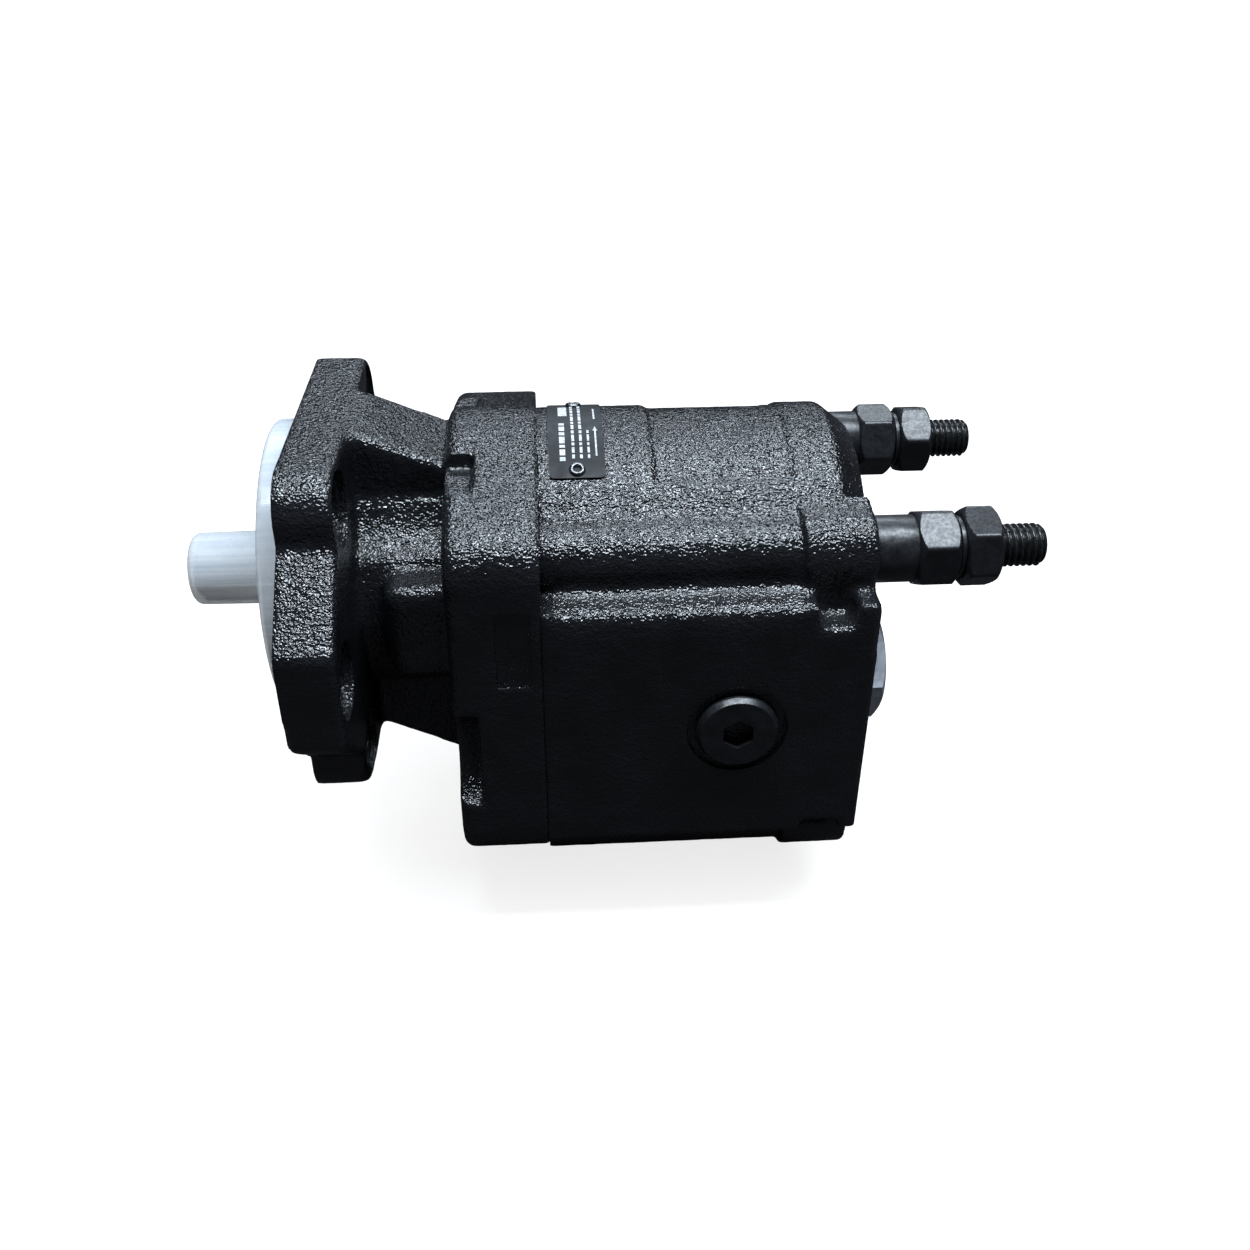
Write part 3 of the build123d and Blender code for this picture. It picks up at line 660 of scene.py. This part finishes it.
def casting(name, node, plugs, planes, cuts, material, soft_boxes, pilot=False):
    """The CAD casting with soft edges and a rough skin, and its machined features cut crisply into it.

    plugs fill the machined holes first, so that the skin closes over them. planes are the faces to be
    machined, as (axis, place, way out). soft_boxes are (rounds, box) where edges are rounded further.
    """
    mesh = voxel_union(joined(cad_shape(node), *plugs))
    smooth(mesh, 4)
    for rounds, box in soft_boxes:
        smooth(mesh, rounds, box)
    roughen(mesh, (5.0 * MM, 0.08 * MM), (2.0 * MM, 0.06 * MM))
    stand_proud(mesh, planes, pilot)
    mesh = cut(mesh, *cuts)
    made = finish_piece(name, mesh, [material], "housing", 32)
    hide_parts(node)


def cover_casting(material):
    """Front cover: flange, pilot, neck and block."""
    in_joint = JOINT - 0.5
    plugs = [bar(-8.5, in_joint, 25)]
    plugs += [bar(0.5, 18.0, 13.0, y, z) for y, z in FLANGE_BOLTS]
    plugs += [bar(52, in_joint, 8.0, y, z) for y, z in TIES]
    plugs += [bar(68, in_joint, 4.6, y, z) for y, z in DOWELS]
    plugs += [bar(66, in_joint, 16.6, *DRIVEN_AXIS)]
    planes = [(0, 0.0, -1), (0, PILOT_X, -1), (0, JOINT, 1)]
    in_front = [(-20, 0), (-20, FAR), (0, FAR), (0, PILOT_R), (-8.3, PILOT_R), (PILOT_X, 49.6)]
    in_front += [(PILOT_X, 0)]
    behind = slab((JOINT, JOINT + 16), ALL_Y, ALL_Z)
    seal_pocket = [(-12, 0), (-12, 24.0), (PILOT_X, 24.0), (-8.5, SEAL_POCKET_R)]
    seal_pocket += [(SEAL_POCKET_END, SEAL_POCKET_R)]
    shaft_hole = [(SEAL_POCKET_END, SHAFT_HOLE_R), (85, SHAFT_HOLE_R), (85, 0)]
    cuts = [stepped(0, 0, *in_front), behind, stepped(0, 0, *seal_pocket, *shaft_hole)]
    bolt_hole = [(-5, 0), (-5, BOLT_HOLE_R), (SPOTFACE_X, BOLT_HOLE_R)]
    spotface = [(SPOTFACE_X, SPOTFACE_R), (19.6, SPOTFACE_R), (19.6, 0)]
    cuts += [stepped(y, z, *bolt_hole, *spotface) for y, z in FLANGE_BOLTS]
    cuts.append(bar(67, 85, 16.0, *DRIVEN_AXIS))
    near_panel = slab((64.0, 75.5), (-75, -66.3), (-9.7, 17.5))
    cuts.append(near_panel)
    flange_back = ((8, 40), (-62, 62), (-75, 75))
    near_ear_foot = ((-3, 12), (-93, -62), (-36, -5))
    casting("front_cover_casting", "front_cover", plugs, planes, cuts, material,
            [(20, flange_back), (28, near_ear_foot)], pilot=True)


def body_casting(material):
    """Pump body: gear bores, port pads and tie bosses."""
    in_joint, in_rear = JOINT + 0.5, REAR - 0.5
    gear_axes = ((0, 0), DRIVEN_AXIS)
    plugs = [bar(in_joint, 165.8, 35.6, y, z) for y, z in gear_axes]
    plugs += [bar(in_joint, 82, 41.2, y, z) for y, z in gear_axes]
    plugs += [slab((in_joint, 82), (-41.2, 41.2), (-60, 0))]
    plugs += [bar(in_joint, in_rear, 8.0, y, z) for y, z in TIES]
    plugs += [bar(171, in_rear, 11.7, y, z) for y, z in LOW_TIES]
    plugs += [bar(in_joint, 91, 4.6, y, z) for y, z in DOWELS]
    plugs += [bar(168, in_rear, 17.2, OUTLET_Y, PORT_Z)]
    plugs += [cross_bar(-66.6, -64, 17.4, SIDE_PORT_X, PORT_Z)]
    plugs += [cross_bar(-66, -36, 11.7, SIDE_PORT_X, PORT_Z)]
    plugs += [cross_bar(16, 66.6, 18.5, INLET_X, PORT_Z)]
    inlet_bolts = [(INLET_X + x, PORT_Z + z) for x in (-17.85, 17.85) for z in (-34.9, 34.9)]
    plugs += [cross_bar(46, 66.6, 5.6, x, z) for x, z in inlet_bolts]
    planes = [(0, JOINT, -1), (0, REAR, 1), (1, PAD, 1)]
    cuts = [slab((60, JOINT), ALL_Y, ALL_Z), slab((REAR, 200), ALL_Y, ALL_Z)]
    cuts += [slab((60, 200), (PAD, 90), (-FAR, 90))]
    cuts += [bar(70, GEAR_BORE_END, GEAR_BORE_R, y, z, 128) for y, z in gear_axes]
    cuts += [bar(172, 190, COUNTERBORE_R, y, z) for y, z in LOW_TIES]
    cuts += [cross_bar(-80, -65.4, PORT_R, SIDE_PORT_X, PORT_Z, 96)]
    cuts += [cross_bar(13, 80, PORT_R, INLET_X, PORT_Z, 96)]
    cuts += [cross_bar(40, 80, PORT_R + 1, INLET_X, PORT_Z, 96)]
    cuts += [cross_bar(47, 80, 5.1, x, z) for x, z in inlet_bolts]
    near_ledge = ((81, 166), (-72, -48), (8, 24))
    near_tab = ((164, 190), (-72, -48), (-2, 24))
    casting("pump_body_casting", "pump_body", plugs, planes, cuts, material,
            [(150, near_ledge), (22, near_tab)])


# ================================================================ fasteners
def upper_ties():
    """The two studs that stand out behind the body, in metres."""
    return [(y * MM, z * MM) for y, z in TIES if z > 0]


def thread_reach(x, r, turn):
    """The radius of a screw thread at this place: V-shaped grooves that fade in from the plain shank."""
    along = (x / THREAD_PITCH - turn / (2 * pi)) % 1.0
    groove = max(0.0, 1.0 - abs(along - 0.5) / 0.42)
    start = min(1.0, max(0.0, (x - THREAD_START_X) / THREAD_PITCH))
    return r - THREAD_DEPTH * min(groove, 0.9) * start


def clipped_thread(x, r, turn):
    """The thread, cut by the chamfer at the stud's end."""
    if x < THREAD_START_X:
        return r
    return min(r, thread_reach(x, TIE_R, turn))


def tie_studs(material):
    """Two long studs whose free ends carry a real helical thread."""
    chamfer = 1.5 * MM
    length = STUD_END_X - THREAD_START_X
    rows = int(length / (THREAD_PITCH / 12))
    profile = [(STUD_START_X, 0), (STUD_START_X, TIE_R), (THREAD_START_X - MM, TIE_R)]
    for i in range(rows + 1):
        x = THREAD_START_X + length * i / rows
        profile.append((x, TIE_R - max(0.0, x - (STUD_END_X - chamfer)) * 0.9))
    profile.append((STUD_END_X, 0))
    verts, faces = lathe(profile, 56, clipped_thread)
    shapes = [(moved(verts, y, z), faces) for y, z in upper_ties()]
    made = piece("tie_studs_threaded", *joined(*shapes), [material], "housing", "black_steel", 50)
    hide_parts("tie_studs")


def hex_reach(across_flats, turn, phase, corner_radius):
    """The distance from the axis to a hexagon with slightly rounded corners, in this direction."""
    off = (turn - phase + pi / 6) % (pi / 3) - pi / 6
    flat = across_flats / 2
    sharp = flat / cos(off)
    rounded = flat / cos(pi / 6) - corner_radius * 0.1547
    return min(sharp, rounded)


def nut_profile(x0, x1, across_flats, steps=8):
    """Stations along a nut, close together where the chamfers are: (x, cone radius)."""
    corner = across_flats / sqrt(3)
    face = across_flats / 2 * 0.955
    drop = (corner - face) * tan(radians(40))
    parts = [i / steps for i in range(steps + 1)]
    chamfer = [(drop * i / steps, face + (corner - face) * part ** 0.8) for i, part in enumerate(parts)]
    return [(x0 + x, r) for x, r in chamfer] + [(x1 - x, r) for x, r in reversed(chamfer)]


def closing_faces(rings, segments):
    """The faces that join the last ring of a turned shell to its first."""
    last = (rings - 1) * segments
    return [(last + i, last + (i + 1) % segments, (i + 1) % segments, i) for i in range(segments)]


def hex_shape(stations, across_flats, phase, inner, segments=144):
    """A hexagon along X turned off by the stations' cone, with a round hole through it."""
    profile = [(stations[0][0], inner)] + stations + [(stations[-1][0], inner)]

    def reach(x, r, turn):
        if r == inner:
            return r
        return min(r, hex_reach(across_flats, turn, phase, 1.2 * MM))

    verts, faces = lathe(profile, segments, reach)
    return verts, faces + closing_faces(len(profile), segments)


def tube_shape(profile, segments=96):
    """A closed ring turned about X, from a closed loop of (x, radius) points."""
    verts, faces = lathe(profile, segments)
    return verts, faces + closing_faces(len(profile), segments)


def softened(x0, x1, outer, inner, edge=0.4 * MM):
    """The loop of a plain ring with small rounded outer edges."""
    loop = [(x0, inner), (x0, outer - edge), (x0 + edge * 0.3, outer - edge * 0.3), (x0 + edge, outer)]
    loop += [(x1 - edge, outer), (x1 - edge * 0.3, outer - edge * 0.3), (x1, outer - edge), (x1, inner)]
    return loop


def sleeve_nuts(material):
    """Nuts with a long round sleeve in front of the hexagon and a short neck behind it."""
    hex_start, hex_end = 200.9 * MM, 214.3 * MM
    neck_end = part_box("sleeve_nuts")[1].x
    sleeve_r, groove_r, neck_r = 11.1 * MM, 9.4 * MM, 10.2 * MM
    sleeve = tube_shape(softened(REAR_X, hex_start + 0.3 * MM, sleeve_r, NUT_BORE_R, 0.5 * MM))
    neck = [(hex_end - MM, NUT_BORE_R), (hex_end - MM, groove_r), (hex_end + 0.5 * MM, groove_r),
            (hex_end + 0.9 * MM, neck_r), (neck_end - 0.3 * MM, neck_r), (neck_end, neck_r - 0.4 * MM),
            (neck_end, NUT_BORE_R)]
    shapes = []
    for (y, z), phase in zip(upper_ties(), (radians(-27), radians(8))):
        nut = hex_shape(nut_profile(hex_start, hex_end, NUT_AF), NUT_AF, phase + pi / 6, NUT_BORE_R)
        for verts, faces in (sleeve, nut, tube_shape(neck)):
            shapes.append((moved(verts, y, z), faces))
    made = piece("sleeve_nuts_forged", *joined(*shapes), [material], "housing", "black_steel", 24)
    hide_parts("sleeve_nuts")


def lock_nuts(material):
    low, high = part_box("lock_nuts")
    profile = nut_profile(low.x, high.x, NUT_AF)
    shapes = []
    for (y, z), phase in zip(upper_ties(), (radians(17), radians(-20))):
        verts, faces = hex_shape(profile, NUT_AF, phase + pi / 6, NUT_BORE_R)
        shapes.append((moved(verts, y, z), faces))
    made = piece("lock_nuts_forged", *joined(*shapes), [material], "housing", "black_steel", 24)
    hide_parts("lock_nuts")


def side_plug(material):
    """The plug of the side port: a round head with a steep bevel and a hexagon socket."""
    tip, seat, top, socket_floor = -51.4 * MM, -65.4 * MM, -69.4 * MM, -57.9 * MM
    head_r, thread_r, ring_r, socket_af = 13.8 * MM, 11.1 * MM, 13.4 * MM, 10 * MM
    ring_seat = seat - 1.4 * MM
    profile = [(tip, 0), (tip, thread_r), (ring_seat, thread_r), (ring_seat, ring_r), (seat, ring_r)]
    profile += [(seat, head_r), (top + 2.2 * MM, head_r), (top + 1.9 * MM, head_r - 0.1 * MM)]
    profile += [(top + 0.15 * MM, head_r - 1.05 * MM), (top, head_r - 1.3 * MM)]
    profile += [(top, socket_af), (socket_floor, socket_af), (socket_floor, 0)]

    def reach(along, r, turn):
        if r == socket_af:
            return hex_reach(socket_af, turn, pi / 6, 0.3 * MM)
        return r

    verts, faces = lathe(profile, 96, reach)
    verts = [(v[2] + SIDE_PORT_X * MM, v[0], v[1] + PORT_Z * MM) for v in verts]
    made = piece("side_port_plug_turned", verts, faces, [material], "housing", "black_steel", 30)
    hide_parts("side_port_plug")


# ================================================================ protective cap
def quarter_round(x, r, depth, rise):
    """Points of a quarter round from (x, r) to a place depth further along X and rise further out."""
    turns = [pi / 2 * i / 6 for i in range(1, 7)]
    return [(x + depth * (1 - cos(turn)), r + rise * sin(turn)) for turn in turns]


def protective_cap(material):
    """A thin hat-shaped cap: skirt, disc with a rounded rim, and a slightly tapered, round-ended tube."""
    low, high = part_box("protective_cap")
    tip, edge = low.x, high.x
    disc_r = high.y
    tube_r, wall = 13.2 * MM, 1.1 * MM
    disc_back = PILOT_X * MM - 0.3 * MM
    front = disc_back - wall
    rim, tip_r = 2.0 * MM, tube_r - 3.4 * MM
    relief = 0.25 * MM  # of the ring on the disc and of the groove round the skirt
    outer = [(tip, 0), (tip, tip_r)] + quarter_round(tip, tip_r, 3.0 * MM, 3.0 * MM)
    outer += [(front - 1.2 * MM, tube_r), (front - 0.4 * MM, tube_r + 0.3 * MM)]
    outer += [(front, tube_r + 1.2 * MM)]
    outer += [(front, disc_r * 0.60), (front - relief, disc_r * 0.62)]
    outer += [(front - relief, disc_r * 0.80), (front, disc_r * 0.82)]
    outer += [(front, disc_r - rim)] + quarter_round(front, disc_r - rim, rim, rim)
    outer += [(edge - 3.2 * MM, disc_r), (edge - 3.0 * MM, disc_r - relief)]
    outer += [(edge - 1.6 * MM, disc_r - relief), (edge - 1.4 * MM, disc_r), (edge, disc_r)]
    inner = [(edge, disc_r - wall), (disc_back, disc_r - wall), (disc_back, tube_r - 1.2 * MM)]
    inner += [(tip + 4.0 * MM, tube_r - 1.6 * MM), (tip + 1.6 * MM, tube_r - 4.4 * MM)]
    inner += [(tip + 1.6 * MM, 0)]

    def reach(x, r, turn):
        """Very shallow flats drawn along the tube."""
        if r > tube_r + 0.1 * MM or x > front - MM:
            return r
        return r * (1 - 0.003 * abs(sin(turn * 11)) ** 0.7)

    made = piece("protective_cap_moulded", *lathe(outer + inner, 176, reach), [material], "shaft_cap",
                 "cap_plastic", 40)
    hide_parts("protective_cap")


# ================================================================ nameplate
PRINT_LOW, PRINT_HIGH = -0.02 * MM, 0.04 * MM


def on_plate(u, v, height):
    """A place on the plate: u runs 0..1 along X, v runs 0..1 up and over the plate's arc."""
    start, end = PLATE_ANGLES
    angle = radians(start + (end - start) * v)
    x = PLATE_LOW.x + (PLATE_HIGH.x - PLATE_LOW.x) * u
    r = PLATE_R + height
    return (x, -r * cos(angle), r * sin(angle))


def curved_strip(stations, low, high):
    """A closed strip that follows the plate's curve, from (v, u0, u1) stations."""
    verts, faces = [], []
    for v, u0, u1 in stations:
        verts += [on_plate(u0, v, low), on_plate(u1, v, low)]
        verts += [on_plate(u1, v, high), on_plate(u0, v, high)]
    last = 4 * (len(stations) - 1)
    for a in range(0, last, 4):
        for j in range(4):
            k = (j + 1) % 4
            faces.append((a + j, a + k, a + 4 + k, a + 4 + j))
    faces += [(3, 2, 1, 0), tuple(last + j for j in range(4))]
    return verts, faces


def print_bar(u0, u1, v0, v1, steps=6):
    """A thin raised bar of print."""
    stations = [(v0 + (v1 - v0) * i / steps, u0, u1) for i in range(steps + 1)]
    return curved_strip(stations, PRINT_LOW, PRINT_HIGH)


def nameplate_sheet(material):
    """The plate itself, with rounded corners."""
    wide = PLATE_HIGH.x - PLATE_LOW.x
    length = PLATE_R * radians(PLATE_ANGLES[1] - PLATE_ANGLES[0])
    corner = 1.8 * MM
    stations = []
    for i in range(9):
        turn = pi / 2 * i / 8
        stations.append((corner * (1 - cos(turn)) / length, corner * (1 - sin(turn)) / wide))
    stations += [(v, 0.0) for v in (0.2, 0.35, 0.5, 0.65, 0.8)]
    stations += [(1 - v, inset) for v, inset in reversed(stations[:9])]
    rows = [(v, inset, 1 - inset) for v, inset in stations]
    verts, faces = curved_strip(rows, -PLATE_THICK, 0.0)
    made = piece("nameplate_sheet", verts, faces, [material], "housing", "plate_paint", 30)
    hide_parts("nameplate")


def hollow_rivets(material):
    """Two tubular rivets with rolled heads that hold the plate."""
    # (height over the plate, radius) in millimetres, from the foot of the shank to the hole's floor
    profile = [(-5.0, 0), (-5.0, 1.35), (0.02, 1.35), (0.02, 2.65), (0.35, 2.7), (0.75, 2.5), (1.0, 2.1),
               (1.05, 1.8), (0.95, 1.5), (0.6, 1.25), (-0.4, 1.1), (-0.4, 0)]
    shell, faces = lathe([(h * MM, r * MM) for h, r in profile], 32)
    shapes = []
    for angle in RIVET_ANGLES:
        out = Vector((0, -cos(radians(angle)), sin(radians(angle))))
        across = out.cross(Vector((1, 0, 0)))
        seat = Vector(((PLATE_LOW.x + PLATE_HIGH.x) / 2, 0, 0)) + out * PLATE_R
        shapes.append(([seat + out * v[0] + Vector((v[1], 0, 0)) + across * v[2] for v in shell], faces))
    made = piece("nameplate_rivets_rolled", *joined(*shapes), [material], "housing", "rivet_metal", 35)
    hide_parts("nameplate_rivets")


def arrow_head(u, v, size_u, size_v):
    """A small raised triangle that points up the plate, as part of the turning arrow."""
    corners = [(u - size_u, v), (u + size_u, v), (u, v + size_v)]
    verts = [on_plate(a, b, height) for height in (PRINT_LOW, PRINT_HIGH) for a, b in corners]
    return verts, [(0, 2, 1), (3, 4, 5), (0, 1, 4, 3), (1, 2, 5, 4), (2, 0, 3, 5)]


def nameplate_print(material):
    """Generic print: rows of short bars for data, one bold bar, and a turning arrow. No lettering."""
    shapes = []
    rows = [(0.20, 0.30, 0.14, 0.56), (0.42, 0.47, 0.16, 0.92), (0.56, 0.61, 0.16, 0.90),
            (0.70, 0.74, 0.16, 0.48)]
    for u0, u1, v0, v1 in rows:
        v = v0
        step = 0
        while v < v1 - 0.02:
            length = (0.035, 0.055, 0.028, 0.07)[step % 4]
            shapes.append(print_bar(u0, u1, v, min(v1, v + length)))
            v += length + 0.016
            step += 1
    shapes.append(print_bar(0.20, 0.36, 0.66, 0.86))
    shapes.append(print_bar(0.84, 0.87, 0.18, 0.44))
    shapes.append(arrow_head(0.855, 0.44, 0.045, 0.05))
    shapes.append(print_bar(0.84, 0.87, 0.60, 0.80))
    piece("nameplate_print", *joined(*shapes), [material], "housing", "plate_paint", 30)


# ================================================================ the scene
def paint_nodes(finishes):
    """Gives the CAD nodes their materials, those that a piece replaces too."""
    for material, names in finishes:
        for name in names:
            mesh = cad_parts[name].data
            mesh.materials.clear()
            mesh.materials.append(material)


def build():
    skin = cast_skin()
    steel, thread, ground = black_steel(), thread_steel(), ground_steel()
    rubber, alloy, bronze = seal_rubber(), bearing_alloy(), bush_bronze()
    cover_casting(skin)
    body_casting(skin)
    tie_studs(thread)
    sleeve_nuts(steel)
    lock_nuts(steel)
    side_plug(steel)
    protective_cap(cap_plastic())
    film = plate_paint()
    nameplate_sheet(film)
    nameplate_print(plate_marks())
    rivet = rivet_metal()
    hollow_rivets(rivet)
    paint_nodes([
        (skin, ["front_cover", "pump_body"]),
        (steel, ["tie_studs", "sleeve_nuts", "lock_nuts", "socket_screws", "side_port_plug"]),
        # The outlet adapter's pale colour is painted reflection, not the colour of its metal.
        (painted_reflection_steel(), ["outlet_adapter"]),
        (ground, ["drive_gear_shaft", "driven_gear_shaft", "dowel_pins"]),
        (alloy, ["front_bearing_block", "rear_bearing_block"]),
        (bronze, ["drive_bushes", "driven_bushes"]),
        (rubber, ["front_pressure_seal", "rear_pressure_seal", "body_o_ring", "inner_shaft_seal",
                  "outer_shaft_seal", "side_plug_ring"]),
        (backup_plastic(), ["front_backup_strip", "rear_backup_strip"]),
        (spring_steel(), ["seal_retaining_clip"]),
        (film, ["nameplate"]),
        (rivet, ["nameplate_rivets"]),
    ])


build()
floor()
lights()
camera()
